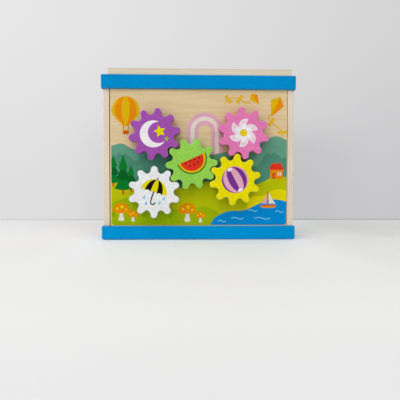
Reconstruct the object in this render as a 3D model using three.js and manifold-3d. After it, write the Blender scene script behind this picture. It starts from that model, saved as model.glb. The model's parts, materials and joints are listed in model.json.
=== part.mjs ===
// A wooden gear toy: a plywood box between two painted boards, with five meshing gears on its front.
// Millimetres, +Z up. The front faces -Y, and the origin is under the middle of the object, on the table.
import * as THREE from "three";
import { mergeVertices } from "three/addons/utils/BufferGeometryUtils.js";
import Module from "manifold-3d";

const wasm = await Module();
wasm.setup();

// Boards: the painted top and bottom
const boardWidth = 200;
const boardDepth = 120;
const boardThickness = 14;
const boardCornerRadius = 2;
const boardEase = 1;

// Plywood walls between the boards
const wallHeight = 140.7;
const plyThickness = 6;
const plyEase = 0.4;
const plyCornerRadius = 0.6;
const sideInset = 2;
const frontInset = 2.5;
const backInset = 2.5;
const panelGapLeft = 0.8;
const panelGapRight = 0.4;
const glueGap = 0.1;

// Plate that lies on the top board
const topPlateThickness = 6.4;
const topPlateInsetLeft = 6.9;
const topPlateInsetRight = 4.6;
const topPlateSetback = 1;

// Posts in the inner corners
const postSize = 12;
const postEase = 1;

// Wood screws that join boards and posts
const woodScrewLength = 30;
const woodScrewRadius = 1.75;
const woodScrewHeadRadius = 3.6;
const woodScrewHeadHeight = 2.2;
const woodScrewTip = 4;
const woodScrewSink = 0.5;
const pilotGap = 0.1;

// Gears: a ten-tooth wheel set out from its module, which is pitch diameter over teeth
const gearModule = 4.65;
const gearTeeth = 10;
const gearThickness = 10;
const gearEase = 0.8;
const addendumShare = 0.63;
const dedendumShare = 0.79;
const tipRoundShare = 0.715;
const flankAngle = THREE.MathUtils.degToRad(80.8);

// Where the gears sit: the green one from the box's middle, the rest by their direction in the train
const greenAcross = -7.8;
const greenAboveBoard = 63.5;
const greenPhase = THREE.MathUtils.degToRad(3);
const greenToPurple = THREE.MathUtils.degToRad(141.3);
const greenToWhite = THREE.MathUtils.degToRad(-143);
const greenToYellow = THREE.MathUtils.degToRad(-19.7);
const yellowToPink = THREE.MathUtils.degToRad(79.8);

// Play in each mesh: how far its two gears stand apart past their pitch circles
const purplePlay = 1.1;
const whitePlay = 0.6;
const yellowPlay = 0.1;
const pinkPlay = 1.2;

// Where each of these gears stands within its play, as a turn from the middle of it
const purpleLag = THREE.MathUtils.degToRad(-0.2);
const whiteLag = THREE.MathUtils.degToRad(0.4);
const yellowLag = THREE.MathUtils.degToRad(0.4);
const pinkLag = THREE.MathUtils.degToRad(1.2);

// Axles: a dowel glued into the gear, turning in the panel, held behind it by a washer and a screw
const axleRadius = 4;
const axleEase = 0.5;
const axleSeatDepth = 6;
const axleGap = 0.1;
const gearPlay = 0.3;
const washerPlay = 0.4;
const spacerRadius = 8;
const spacerThickness = 1.5;
const spacerEase = 0.3;
const washerRadius = 8;
const washerThickness = 1.2;
const washerEase = 0.2;
const washerGap = 0.3;
const pivotScrewLength = 12;
const pivotScrewRadius = 1.5;
const pivotScrewTip = 2;
const pivotHeadRadius = 3.2;
const pivotHeadHeight = 2;

// Cross recess in the screw heads
const recessDepth = 1;
const recessArmWidth = 0.8;
const recessReachShare = 0.55;

// How far a cut runs past the face that it opens
const overrun = 1;

// Points closer than this are one point when a shape is made solid
const mergeTolerance = 1e-3;

// Smoothness, as counts of flat pieces
const tipSteps = 5;
const rootSteps = 4;
const cornerSteps = 2;
const roundSteps = 2;
const chamferSteps = 1;
const turnSteps = 20;
const screwSteps = 12;

// Sizes that follow
const wallBottom = boardThickness;
const wallTop = wallBottom + wallHeight;
const boxHeight = wallTop + boardThickness;
const pitchDiameter = gearModule * gearTeeth;
const pitchRadius = pitchDiameter / 2;
const tipRadius = pitchRadius + addendumShare * gearModule;
const rootRadius = pitchRadius - dedendumShare * gearModule;
const tipRound = tipRoundShare * gearModule;
const halfTooth = Math.PI / gearTeeth;
const gearBackOut = spacerThickness + gearPlay;
const gearFrontOut = gearBackOut + gearThickness;
const gearProud = gearFrontOut - frontInset;
const overallDepth = boardDepth + gearProud;
const boardFront = -overallDepth / 2 + gearProud;
const boardMiddle = boardFront + boardDepth / 2;
const panelFront = boardFront + frontInset;
const wallDepth = boardDepth - frontInset - backInset;
const sideInner = boardWidth / 2 - sideInset - plyThickness;
const panelLeft = -sideInner + panelGapLeft;
const panelRight = sideInner - panelGapRight;
const panelWidth = panelRight - panelLeft;
const postFront = panelFront + plyThickness;
const postBack = panelFront + wallDepth - plyThickness;
const greenHeight = wallBottom + greenAboveBoard;

// Materials
const bluePaint = paint(0x028ac6, 0.42);
const bareWood = paint(0xd8cfb9, 0.62);
const printedWood = paint(0xd2bd93, 0.55);
const postWood = paint(0xd9bd8c, 0.7);
const dowelWood = paint(0xdcc497, 0.6);
const nylon = paint(0xe9e7e0, 0.5);
const zinc = new THREE.MeshStandardMaterial({ color: 0xb9bcc0, roughness: 0.35, metalness: 1 });
const gearPaints = {
  purple: paint(0xa04bb4, 0.4),
  green: paint(0x8cd755, 0.4),
  white: paint(0xebe8e8, 0.4),
  yellow: paint(0xf0e100, 0.4),
  pink: paint(0xe673b9, 0.4),
};

function paint(color, roughness) {
  return new THREE.MeshStandardMaterial({ color, roughness, metalness: 0 });
}

const origin = new THREE.Vector2();

// Geometry to a manifold solid, so that it can be cut
function solidOf(geometry) {
  const plain = geometry.index ? geometry.toNonIndexed() : geometry.clone();
  plain.deleteAttribute("normal");
  plain.deleteAttribute("uv");
  const merged = mergeVertices(plain, mergeTolerance);
  return new wasm.Manifold(
    new wasm.Mesh({
      numProp: 3,
      vertProperties: merged.attributes.position.array,
      triVerts: new Uint32Array(merged.index.array),
    }),
  );
}

// A manifold solid back to flat-shaded geometry
function geometryOf(solid) {
  const mesh = solid.getMesh();
  const geometry = new THREE.BufferGeometry();
  geometry.setAttribute("position", new THREE.BufferAttribute(mesh.vertProperties, 3));
  geometry.setIndex(new THREE.BufferAttribute(mesh.triVerts, 1));
  const flat = geometry.toNonIndexed();
  flat.computeVertexNormals();
  return flat;
}

function cutFrom(geometry, cutters) {
  const cut = cutters.reduce((left, cutter) => left.subtract(solidOf(cutter)), solidOf(geometry));
  return geometryOf(cut);
}

// A rectangle with round corners, centred on its shape's origin
function roundedRectangle(width, height, radius) {
  const x = width / 2 - radius;
  const y = height / 2 - radius;
  const quarter = Math.PI / 2;
  const shape = new THREE.Shape();
  shape.absarc(x, y, radius, 0, quarter);
  shape.absarc(-x, y, radius, quarter, 2 * quarter);
  shape.absarc(-x, -y, radius, 2 * quarter, 3 * quarter);
  shape.absarc(x, -y, radius, 3 * quarter, 4 * quarter);
  return shape;
}

// A circle as an even polygon
function circle(centre, radius, steps) {
  const points = [];
  for (let i = 0; i < steps; i++) {
    const spoke = new THREE.Vector2(radius, 0).rotateAround(origin, (2 * Math.PI * i) / steps);
    points.push(spoke.add(centre));
  }
  return new THREE.Path(points);
}

// A plate lying in X and Y with its middle at the origin and all its edges eased
function easedPlate(width, height, thickness, radius, ease, steps, holes = []) {
  const shape = roundedRectangle(width, height, radius);
  shape.holes.push(...holes);
  const geometry = new THREE.ExtrudeGeometry(shape, {
    depth: thickness - 2 * ease,
    bevelThickness: ease,
    bevelSize: ease,
    bevelOffset: -ease,
    bevelSegments: steps,
    curveSegments: cornerSteps,
  });
  return geometry.translate(0, 0, ease - thickness / 2);
}

// A profile of [radius, height] pairs turned round the Z axis, going up its outside
function turned(profile, steps) {
  const points = profile.map(([radius, height]) => new THREE.Vector2(radius, height));
  return new THREE.LatheGeometry(points, steps).rotateX(Math.PI / 2);
}

function cylinder(radius, bottom, top, steps) {
  const profile = [
    [0, bottom],
    [radius, bottom],
    [radius, top],
    [0, top],
  ];
  return turned(profile, steps);
}

// A ring round the Z axis, from height zero up, with its outer edges eased
function ring(innerRadius, outerRadius, thickness, ease, steps) {
  const profile = [
    [innerRadius, 0],
    [outerRadius - ease, 0],
    [outerRadius, ease],
    [outerRadius, thickness - ease],
    [outerRadius - ease, thickness],
    [innerRadius, thickness],
    [innerRadius, 0],
  ];
  return turned(profile, steps);
}

// A plus sign cut into a screw head whose top is at the given height
function crossRecess(headRadius, top) {
  const reach = headRadius * recessReachShare;
  const half = recessArmWidth / 2;
  const arm = [
    [reach, -half],
    [reach, half],
    [half, half],
  ];
  const points = [0, 1, 2, 3].flatMap((turn) =>
    arm.map(([x, y]) => new THREE.Vector2(x, y).rotateAround(origin, (turn * Math.PI) / 2)),
  );
  const shape = new THREE.Shape(points);
  const geometry = new THREE.ExtrudeGeometry(shape, { depth: recessDepth + overrun, bevelEnabled: false });
  return geometry.translate(0, 0, top - recessDepth);
}

// One gear outline: each round tip runs into straight flanks, and these into round roots. The flanks
// face away from the middle line of their tooth by the flank angle
function gearShape() {
  const tipCentre = tipRadius - tipRound;
  const facing = Math.cos(flankAngle - halfTooth);
  const flankReach = tipCentre * Math.cos(flankAngle) + tipRound;
  const rootRound = (rootRadius * facing - flankReach) / (1 - facing);
  const rootCentre = new THREE.Vector2(rootRadius + rootRound, 0).rotateAround(origin, halfTooth);
  const points = [];
  for (let tooth = 0; tooth < gearTeeth; tooth++) {
    const turn = 2 * halfTooth * tooth;
    const add = (x, y) => {
      points.push(new THREE.Vector2(x, y).rotateAround(origin, turn));
    };
    for (let i = 0; i <= tipSteps; i++) {
      const angle = flankAngle * ((2 * i) / tipSteps - 1);
      add(tipCentre + tipRound * Math.cos(angle), tipRound * Math.sin(angle));
    }
    const first = flankAngle + Math.PI;
    const last = 2 * halfTooth + Math.PI - flankAngle;
    for (let i = 0; i <= rootSteps; i++) {
      const angle = first + ((last - first) * i) / rootSteps;
      add(rootCentre.x + rootRound * Math.cos(angle), rootCentre.y + rootRound * Math.sin(angle));
    }
  }
  return new THREE.Shape(points);
}

// A gear whose back is at height zero, with a blind bore for its axle
function gearGeometry() {
  const wheel = new THREE.ExtrudeGeometry(gearShape(), {
    depth: gearThickness - 2 * gearEase,
    bevelThickness: gearEase,
    bevelSize: gearEase,
    bevelOffset: -gearEase,
    bevelSegments: chamferSteps,
  }).translate(0, 0, gearEase);
  const bore = cylinder(axleRadius + glueGap, -overrun, axleSeatDepth, turnSteps);
  return cutFrom(wheel, [bore]);
}

// The axle dowel. Height zero is the panel's front face
function axleGeometry() {
  const front = gearBackOut + axleSeatDepth - glueGap;
  const back = -plyThickness - washerPlay;
  const dowel = turned(
    [
      [0, back],
      [axleRadius, back],
      [axleRadius, front - axleEase],
      [axleRadius - axleEase, front],
      [0, front],
    ],
    turnSteps,
  );
  const pilotEnd = back + pivotScrewLength - washerThickness + pilotGap;
  const pilot = cylinder(pivotScrewRadius + pilotGap, back - overrun, pilotEnd, screwSteps);
  return cutFrom(dowel, [pilot]);
}

// A round-headed screw that points up, with the underside of its head at height zero
function pivotScrewGeometry() {
  const round = pivotHeadHeight / 2;
  const screw = turned(
    [
      [0, -pivotHeadHeight],
      [pivotHeadRadius - round, -pivotHeadHeight],
      [pivotHeadRadius, -round],
      [pivotHeadRadius, 0],
      [pivotScrewRadius, 0],
      [pivotScrewRadius, pivotScrewLength - pivotScrewTip],
      [0, pivotScrewLength],
    ],
    screwSteps,
  );
  const recess = crossRecess(pivotHeadRadius, pivotHeadHeight).rotateX(Math.PI);
  return cutFrom(screw, [recess]);
}

// A countersunk wood screw that points up, with the face of its head at height zero
function woodScrewGeometry() {
  const screw = turned(
    [
      [0, 0],
      [woodScrewHeadRadius, 0],
      [woodScrewRadius, woodScrewHeadHeight],
      [woodScrewRadius, woodScrewLength - woodScrewTip],
      [0, woodScrewLength],
    ],
    screwSteps,
  );
  return cutFrom(screw, [crossRecess(woodScrewHeadRadius, 0).rotateX(Math.PI)]);
}

// The hole that a wood screw needs, from the face that it enters
function woodScrewHole() {
  const headRadius = woodScrewHeadRadius + pilotGap;
  const shankRadius = woodScrewRadius + pilotGap;
  const end = woodScrewSink + woodScrewLength + pilotGap;
  return turned(
    [
      [0, -overrun],
      [headRadius, -overrun],
      [headRadius, woodScrewSink],
      [shankRadius, woodScrewSink + woodScrewHeadHeight],
      [shankRadius, end],
      [0, end],
    ],
    screwSteps,
  );
}

// The four posts and the screws above and below them
const postX = sideInner - glueGap - postSize / 2;
const postPlaces = {
  front_left: [-postX, postFront + glueGap + postSize / 2],
  front_right: [postX, postFront + glueGap + postSize / 2],
  back_left: [-postX, postBack - glueGap - postSize / 2],
  back_right: [postX, postBack - glueGap - postSize / 2],
};
const screwHolesBelow = Object.values(postPlaces).map(([x, y]) => woodScrewHole().translate(x, y, 0));
const screwHolesAbove = Object.values(postPlaces).map(([x, y]) =>
  woodScrewHole()
    .rotateX(Math.PI)
    .translate(x, y, boxHeight),
);

const toy = new THREE.Group();

function addPiece(name, geometry, material, parent = toy) {
  const mesh = new THREE.Mesh(geometry, material);
  mesh.name = name;
  parent.add(mesh);
  return mesh;
}

function addBoards() {
  const board = () =>
    easedPlate(boardWidth, boardDepth, boardThickness, boardCornerRadius, boardEase, roundSteps);
  const bottom = board().translate(0, boardMiddle, boardThickness / 2);
  const top = board().translate(0, boardMiddle, boxHeight - boardThickness / 2);
  addPiece("bottom_board", cutFrom(bottom, screwHolesBelow), bluePaint);
  addPiece("top_board", cutFrom(top, screwHolesAbove), bluePaint);
}

function addTopPlate() {
  const width = boardWidth - topPlateInsetLeft - topPlateInsetRight;
  const depth = boardDepth - 2 * topPlateSetback;
  const plate = addPiece(
    "top_plate",
    easedPlate(width, depth, topPlateThickness, plyCornerRadius, plyEase, chamferSteps),
    bareWood,
  );
  const x = (topPlateInsetLeft - topPlateInsetRight) / 2;
  plate.position.set(x, boardMiddle, boxHeight + topPlateThickness / 2);
}

// The side walls stand on edge, so each plate is turned about Y
function addSides() {
  const x = boardWidth / 2 - sideInset - plyThickness / 2;
  const places = { left_side: -x, right_side: x };
  for (const [name, place] of Object.entries(places)) {
    const geometry = easedPlate(wallHeight, wallDepth, plyThickness, plyCornerRadius, plyEase, chamferSteps);
    geometry.rotateY(Math.PI / 2);
    const side = addPiece(name, geometry, bareWood);
    side.position.set(place, panelFront + wallDepth / 2, wallBottom + wallHeight / 2);
  }
}

// A panel between the sides, facing the front, bored where axles pass
function panelGeometry(bores) {
  const middle = new THREE.Vector2((panelLeft + panelRight) / 2, wallBottom + wallHeight / 2);
  const holes = bores.map((place) => circle(place.clone().sub(middle), axleRadius + axleGap, turnSteps));
  const corner = plyCornerRadius;
  const geometry = easedPlate(panelWidth, wallHeight, plyThickness, corner, plyEase, chamferSteps, holes);
  return geometry.rotateX(Math.PI / 2).translate(middle.x, 0, middle.y);
}

function addPanels(bores) {
  const front = addPiece("front_panel", panelGeometry(bores), printedWood);
  front.position.y = panelFront + plyThickness / 2;
  const back = addPiece("back_panel", panelGeometry([]), bareWood);
  back.position.y = postBack + plyThickness / 2;
}

function addPosts() {
  for (const [corner, [x, y]] of Object.entries(postPlaces)) {
    const shape = roundedRectangle(postSize, postSize, postEase);
    const options = { depth: wallHeight, bevelEnabled: false, curveSegments: cornerSteps };
    const post = new THREE.ExtrudeGeometry(shape, options).translate(x, y, wallBottom);
    const holes = [...screwHolesBelow, ...screwHolesAbove];
    addPiece("post_" + corner, cutFrom(post, holes), postWood);
    const below = addPiece("bottom_screw_" + corner, woodScrewGeometry(), zinc);
    below.position.set(x, y, woodScrewSink);
    const above = addPiece("top_screw_" + corner, woodScrewGeometry().rotateX(Math.PI), zinc);
    above.position.set(x, y, boxHeight - woodScrewSink);
  }
}

// A gear that meshes with another: a pitch diameter and the play away, its teeth facing the gaps
function meshedWith(gear, direction, play, lag) {
  const step = new THREE.Vector2(pitchDiameter + play, 0).rotateAround(origin, direction);
  const phase = 2 * direction - gear.phase + halfTooth + lag;
  return { place: gear.place.clone().add(step), phase };
}

const green = { place: new THREE.Vector2(greenAcross, greenHeight), phase: greenPhase };
const yellow = meshedWith(green, greenToYellow, yellowPlay, yellowLag);
const train = {
  green,
  purple: meshedWith(green, greenToPurple, purplePlay, purpleLag),
  white: meshedWith(green, greenToWhite, whitePlay, whiteLag),
  yellow,
  pink: meshedWith(yellow, yellowToPink, pinkPlay, pinkLag),
};

// The gears' own frame: X to the right, Y up and Z out of the panel's front face
function addGears() {
  const face = new THREE.Group();
  face.rotation.x = Math.PI / 2;
  face.position.y = panelFront;
  toy.add(face);
  for (const [colour, gear] of Object.entries(train)) {
    const pivot = new THREE.Group();
    pivot.position.set(gear.place.x, gear.place.y, 0);
    face.add(pivot);
    const wheel = addPiece(colour + "_gear", gearGeometry(), gearPaints[colour], pivot);
    wheel.position.z = gearBackOut;
    wheel.rotation.z = gear.phase;
    addPiece(colour + "_axle", axleGeometry(), dowelWood, pivot);
    const spacer = ring(axleRadius + axleGap, spacerRadius, spacerThickness, spacerEase, turnSteps);
    addPiece(colour + "_spacer", spacer, nylon, pivot);
    const washerBack = -plyThickness - washerPlay - washerThickness;
    const washer = ring(pivotScrewRadius + washerGap, washerRadius, washerThickness, washerEase, turnSteps);
    addPiece(colour + "_washer", washer, zinc, pivot).position.z = washerBack;
    addPiece(colour + "_pivot_screw", pivotScrewGeometry(), zinc, pivot).position.z = washerBack;
  }
}

addBoards();
addTopPlate();
addSides();
addPanels(Object.values(train).map((gear) => gear.place));
addPosts();
addGears();

export default toy;
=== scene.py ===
import json
from math import asin, atan2, cos, degrees, dist, hypot, pi, radians, sin

import bpy
import numpy as np
from mathutils import Matrix, Vector
from mathutils.geometry import delaunay_2d_cdt


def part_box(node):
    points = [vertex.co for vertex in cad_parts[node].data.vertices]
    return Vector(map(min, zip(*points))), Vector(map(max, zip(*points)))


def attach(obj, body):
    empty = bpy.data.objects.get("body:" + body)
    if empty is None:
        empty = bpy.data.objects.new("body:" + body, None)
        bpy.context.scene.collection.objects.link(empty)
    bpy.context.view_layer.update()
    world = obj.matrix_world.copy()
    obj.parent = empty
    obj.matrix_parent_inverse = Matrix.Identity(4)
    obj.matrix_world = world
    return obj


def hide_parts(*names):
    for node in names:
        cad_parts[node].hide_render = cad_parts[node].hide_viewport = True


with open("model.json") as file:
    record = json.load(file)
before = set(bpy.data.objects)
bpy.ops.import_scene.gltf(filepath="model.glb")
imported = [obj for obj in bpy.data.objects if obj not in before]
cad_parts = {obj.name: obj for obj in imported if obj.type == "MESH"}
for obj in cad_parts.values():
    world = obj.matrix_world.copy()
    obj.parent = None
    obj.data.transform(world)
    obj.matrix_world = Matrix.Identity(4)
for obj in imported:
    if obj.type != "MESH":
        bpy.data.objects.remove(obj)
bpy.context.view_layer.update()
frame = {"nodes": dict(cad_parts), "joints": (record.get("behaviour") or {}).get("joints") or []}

MM = 0.001
X, Y, Z = Vector((1, 0, 0)), Vector((0, 1, 0)), Vector((0, 0, 1))
ALONG_X, ALONG_Y, ALONG_Z = 0, 1, 2

# Gears, as the solids have them
GEAR_MODULE = 4.65
GEAR_TEETH = 10
ADDENDUM_SHARE = 0.63
DEDENDUM_SHARE = 0.79
TIP_ROUND_SHARE = 0.715
FLANK_ANGLE = radians(80.8)
GREEN_PHASE = radians(3)
GEAR_EASE = 0.8
AXLE_SEAT_DEPTH = 6
GLUE_GAP = 0.1
# Each driver, the gear it drives, and how far that gear lags in its play, in degrees
GEAR_TRAIN = (
    ("green", "purple", -0.2),
    ("green", "white", 0.4),
    ("green", "yellow", 0.4),
    ("yellow", "pink", 1.2),
)

# Boards and plates, as the solids have them. The solids' boards have BOARD_EASE on every edge,
# where these have UPPER_EASE above and FOOT_EASE under the bottom board, as photographed.
BOARD_CORNER_RADIUS = 2
BOARD_EASE = 1
UPPER_EASE = 0.6
FOOT_EASE = 2.6
PLY_CORNER_RADIUS = 0.6
PLY_EASE = 0.4
PILOT_GAP = 0.1
SCREW_SINK = 0.5
SCREW_HEAD_RADIUS = 3.6
SCREW_HEAD_HEIGHT = 2.2
SCREW_RADIUS = 1.75

# Printing
INK_THICKNESS = 0.06
PRINT_MARGIN_LEFT = 1.3
PRINT_MARGIN_RIGHT = 0.5
PRINT_MARGIN_BELOW = 1.0
PRINT_MARGIN_ABOVE = 1.3
PRINT_CORNER_RADIUS = 3
PRINT_CLEARANCE = 0.2
SCENE_SPILL = 5
GEAR_PRINT_RADIUS = 18
CURVE_STEP = 0.7
SAME_POINT = 0.02

# Smoothness, as counts of straight pieces
TIP_STEPS = 14
ROOT_STEPS = 10
CORNER_STEPS = 8
EASE_STEPS = 4
BORE_STEPS = 40
GEAR_PRINT_STEPS = 120

# Limits for meshes
SHARP_ANGLE = radians(40)
LEAST_BEND = 0.05
CAP_TOLERANCE = 1e-5
PRINT_TOLERANCE = 1e-4

# How strongly finishes mirror the room
PAINT_SHINE = 0.05
BOARD_SHINE = 0.02
WOOD_SHINE = 0.1

# Grain, in bumps to the metre along and across the fibres
FIBRES = (25, 900)
FLECKS = (90, 1400)
SLOW_GRAIN = (7, 55)
PAINTED_FIBRES = (60, 1500)
PAINTED_STREAKS = (9, 420)
# Rings of wood, in radians to the metre, and how many metres the slow grain shifts them
RING_RATE = 900
RING_SWING = 0.05
# The stretch of a noise over which a tone turns into another
SOFT = (0.3, 0.7)
FIRM = (0.35, 0.65)
# Where paint is rubbed thin, and as a painted highlight along rounded edges, this share of a pale tone comes
# through
WEAR_AND_HIGHLIGHT_SHARE = 0.4
WEAR_AND_HIGHLIGHT_TONE = 0.85
# Plies
PANEL_LAYERS = 3
SIDE_LAYERS = 5
PLATE_LAYERS = 5
LAYER_WAVER = 0.35

# Camera, as the photograph shows the toy
CAMERA_PLACE = (-11.85, -466.72, 53.85)
CAMERA_YAW = radians(1.79)
CAMERA_PITCH = radians(-1.785)
CAMERA_ROLL = radians(-0.062)
LENS = 36
SENSOR = 36
NEAR_CLIP = 0.01

# Table, wall and light, in metres and watts
TABLE_EDGE = 0.217
# Depth of the painted shade line along the table's far edge
TABLE_SHADE_LINE = 0.025
# The table lies a hair under the toy's foot, so that no two faces meet
TABLE_LOW = (-3, -3, -0.00005)
TABLE_HIGH = (3, TABLE_EDGE, -0.00005)
TABLE_ROUGHNESS = 0.6
TABLE_SHINE = 0.2
WALL_LOW = (-5, 1.2, -2)
WALL_HIGH = (5, 1.2, 3)
WORLD_COLOUR = (0.97, 0.99, 1, 1)
WORLD_STRENGTH = 0.42
LAMP_AIM = Vector((0, 0, 0.08))
# Each lamp's place, size, power and colour
LAMPS = {
    "key": ((-0.75, -1.15, 1.4), 1.6, 14.3, (1, 0.985, 0.96)),
    "fill": ((0.75, -1.15, 1.4), 1.6, 8.3, (1, 0.985, 0.96)),
    "side": ((-3.2, -0.5, 1.4), 1.4, 20, (1, 1, 1)),
}


def linear(red, green, blue):
    """A colour written as 0 to 255 on a screen, as the shaders take it."""

    def one(value):
        share = value / 255
        return share / 12.92 if share <= 0.04045 else ((share + 0.055) / 1.055) ** 2.4

    return (one(red), one(green), one(blue), 1)


# Colours of prints, paints and veneers, written as 0 to 255 on a screen
INKS = {
    "teal": (77, 140, 117),
    "pale_teal": (98, 158, 132),
    "spring": (184, 191, 2),
    "lime": (152, 178, 0),
    "moss": (130, 156, 4),
    "blue": (0, 136, 210),
    "light_blue": (120, 200, 225),
    "bright_yellow": (226, 213, 2),
    "dark_green": (3, 120, 40),
    "deep_green": (2, 96, 34),
    "ochre": (220, 178, 8),
    "orange": (229, 138, 2),
    "red": (222, 52, 30),
    "rust": (205, 84, 20),
    "pale_pink": (220, 168, 188),
    "rose": (226, 120, 175),
    "cream": (230, 218, 205),
    "blush": (233, 214, 228),
    "white": (236, 233, 236),
    "purple": (112, 50, 142),
    "black": (22, 16, 20),
}
GEAR_PAINTS = {
    "green": (149, 211, 82),
    "purple": (163, 82, 175),
    "white": (238, 238, 240),
    "yellow": (238, 224, 0),
    "pink": (230, 124, 182),
}
# The tone and the dark of each veneer
VENEER = (223, 201, 159), (203, 175, 125)
SIDE_VENEER = (235, 222, 202), (215, 194, 162)
PLATE_VENEER = (230, 218, 198), (211, 192, 161)
INNER_VENEER = (226, 180, 116), (204, 150, 90)
# What steel reflects, as the shader takes it
ZINC = (0.6, 0.61, 0.63, 1)


# Materials


class Recipe:
    """One material's nodes, with short calls for the kinds used here."""

    def __init__(self, name):
        self.material = bpy.data.materials.new(name)
        self.material.use_nodes = True
        self.tree = self.material.node_tree
        self.shader = self.tree.nodes["Principled BSDF"]
        self.object_place = self.add("ShaderNodeTexCoord").outputs["Object"]
        self.normal = self.add("ShaderNodeNewGeometry").outputs["Normal"]

    def plug(self, node, sockets):
        """Sockets are pairs of a name or number and what goes there."""
        for key, value in sockets:
            if isinstance(value, bpy.types.NodeSocket):
                self.tree.links.new(value, node.inputs[key])
            else:
                node.inputs[key].default_value = value

    def add(self, kind, sockets=(), **settings):
        node = self.tree.nodes.new(kind)
        for key, value in settings.items():
            setattr(node, key, value)
        self.plug(node, sockets)
        return node

    def maths(self, operation, *values):
        return self.add("ShaderNodeMath", enumerate(values), operation=operation).outputs[0]

    def times(self, first, second):
        return self.maths("MULTIPLY", first, second)

    def absolute(self, value):
        return self.maths("ABSOLUTE", value)

    def split(self, vector):
        return self.add("ShaderNodeSeparateXYZ", [(0, vector)]).outputs

    def spread(self, value, low, high, to_low=0.0, to_high=1.0):
        """Goes smoothly from one number to another as a value goes from low to high."""
        sockets = enumerate((value, low, high, to_low, to_high))
        return self.add("ShaderNodeMapRange", sockets, interpolation_type="SMOOTHSTEP").outputs[0]

    def noise(self, scale, detail=2.0, distortion=0.0):
        """Noise between 0 and 1; scale is bumps to the metre, one number or one for each axis."""
        scale = scale if isinstance(scale, tuple) else (scale,) * 3
        place = self.add("ShaderNodeMapping", [("Vector", self.object_place), ("Scale", scale)]).outputs[0]
        sockets = [("Vector", place), ("Scale", 1), ("Detail", detail), ("Distortion", distortion)]
        return self.add("ShaderNodeTexNoise", sockets).outputs["Fac"]

    def mix(self, amount, first, second):
        """A colour between two; inputs 6 and 7 are those for colours."""
        sockets = [(0, amount), (6, first), (7, second)]
        return self.add("ShaderNodeMix", sockets, data_type="RGBA").outputs[2]

    def fade(self, value, low, high, first, second, most=1.0):
        """The first tone where a value is low, and most of the second where it is high."""
        return self.mix(self.spread(value, low, high, 0.0, most), first, second)

    def bump(self, height, depth, strength):
        """A normal from a height; depth is in millimetres."""
        sockets = [("Height", height), ("Distance", depth * MM), ("Strength", strength)]
        return self.add("ShaderNodeBump", sockets).outputs[0]

    def finish(self, **sockets):
        """Plugs the shader's sockets, whose names have _ for a space here."""
        self.plug(self.shader, [(name.replace("_", " "), value) for name, value in sockets.items()])
        return self.material


def scaled(colour, factor):
    """A colour made darker or brighter."""
    return (*(min(1, channel * factor) for channel in colour[:3]), 1)


def along(axis, length_scale, cross_scale):
    """Noise scales for fibres that run along one axis."""
    return tuple(length_scale if i == axis else cross_scale for i in range(3))


def edge_mask(recipe):
    """1 on rounded edges of a square-cut piece, 0 on its faces."""
    parts = [recipe.absolute(part) for part in recipe.split(recipe.normal)]
    flatness = recipe.maths("MAXIMUM", recipe.maths("MAXIMUM", parts[0], parts[1]), parts[2])
    return recipe.spread(flatness, 0.78, 0.93, 1.0, 0.0)


def rim_mask(recipe):
    """1 on the rounded edge between a gear's face and its rim."""
    facing = recipe.absolute(recipe.split(recipe.normal)[ALONG_Y])
    rising = recipe.spread(facing, 0.1, 0.45)
    falling = recipe.spread(facing, 0.8, 0.98, 1.0, 0.0)
    return recipe.times(rising, falling)


def paint(name, colour, gear=False):
    """Satin paint on wood: cloudy tone, faint fibres under it, and pale rounded edges, partly thin, worn
    paint and partly a painted highlight.
    """
    recipe, colour = Recipe(name), linear(*colour)
    cloud = recipe.noise(45, detail=3)
    speckle = recipe.noise(620, detail=3)
    fibres = recipe.noise(along(ALONG_X, *PAINTED_FIBRES), detail=3)
    streaks = recipe.noise(along(ALONG_X, *PAINTED_STREAKS), detail=3)
    mottle = recipe.noise(400)
    deep = scaled(colour, 0.8)
    tone = recipe.fade(cloud, *SOFT, scaled(colour, 0.97), scaled(colour, 1.08))
    tone = recipe.fade(fibres, 0.45, 0.75, tone, deep, most=0.28)
    tone = recipe.mix(recipe.spread(streaks, *FIRM, 0.25, 0.0), tone, deep)
    tone = recipe.fade(mottle, *FIRM, tone, deep, most=0.55 if gear else 0.25)
    tone = recipe.fade(speckle, 0.55, 0.75, tone, scaled(colour, 1.18), most=0.16)
    edges = rim_mask(recipe) if gear else edge_mask(recipe)
    # Pale rounded edges: partly rubbed paint, partly a painted highlight
    rub_and_highlight = recipe.spread(recipe.noise(240, detail=4), 0.42, 0.62, 0.1, 0.5 if gear else 0.2)
    wear_and_highlight = (*((1 - WEAR_AND_HIGHLIGHT_SHARE) * channel + WEAR_AND_HIGHLIGHT_SHARE * WEAR_AND_HIGHLIGHT_TONE for channel in colour[:3]), 1)
    tone = recipe.mix(recipe.times(edges, rub_and_highlight), tone, wear_and_highlight)
    height = recipe.maths("ADD", recipe.times(fibres, 0.6), recipe.times(speckle, 0.4))
    shine = recipe.spread(recipe.noise(160, detail=3), *SOFT, 0.36, 0.5)
    mirror = PAINT_SHINE if gear else BOARD_SHINE
    normal = recipe.bump(height, 0.06, 0.5)
    return recipe.finish(Base_Color=tone, Roughness=shine, Normal=normal, Specular_IOR_Level=mirror)


def fibre_tones(recipe, base, dark, fibre_axis, figure_axis):
    """Face veneer: fine fibres, slow bands of early and late wood, and small dark flecks."""
    fibres = recipe.noise(along(fibre_axis, *FIBRES), detail=4)
    slow = recipe.noise(along(fibre_axis, *SLOW_GRAIN), distortion=0.6)
    flecks = recipe.noise(along(fibre_axis, *FLECKS))
    place = recipe.split(recipe.object_place)[figure_axis]
    ring_place = recipe.maths("ADD", place, recipe.times(slow, RING_SWING))
    rings = recipe.maths("SINE", recipe.times(ring_place, RING_RATE))
    tone = recipe.fade(fibres, 0.3, 0.72, base, dark, most=0.42)
    tone = recipe.fade(rings, -0.2, 1.0, tone, dark, most=0.24)
    tone = recipe.fade(slow, 0.4, 0.7, tone, scaled(base, 1.08), most=0.35)
    tone = recipe.fade(flecks, 0.66, 0.78, tone, scaled(dark, 0.8), most=0.4)
    return tone, fibres


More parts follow.
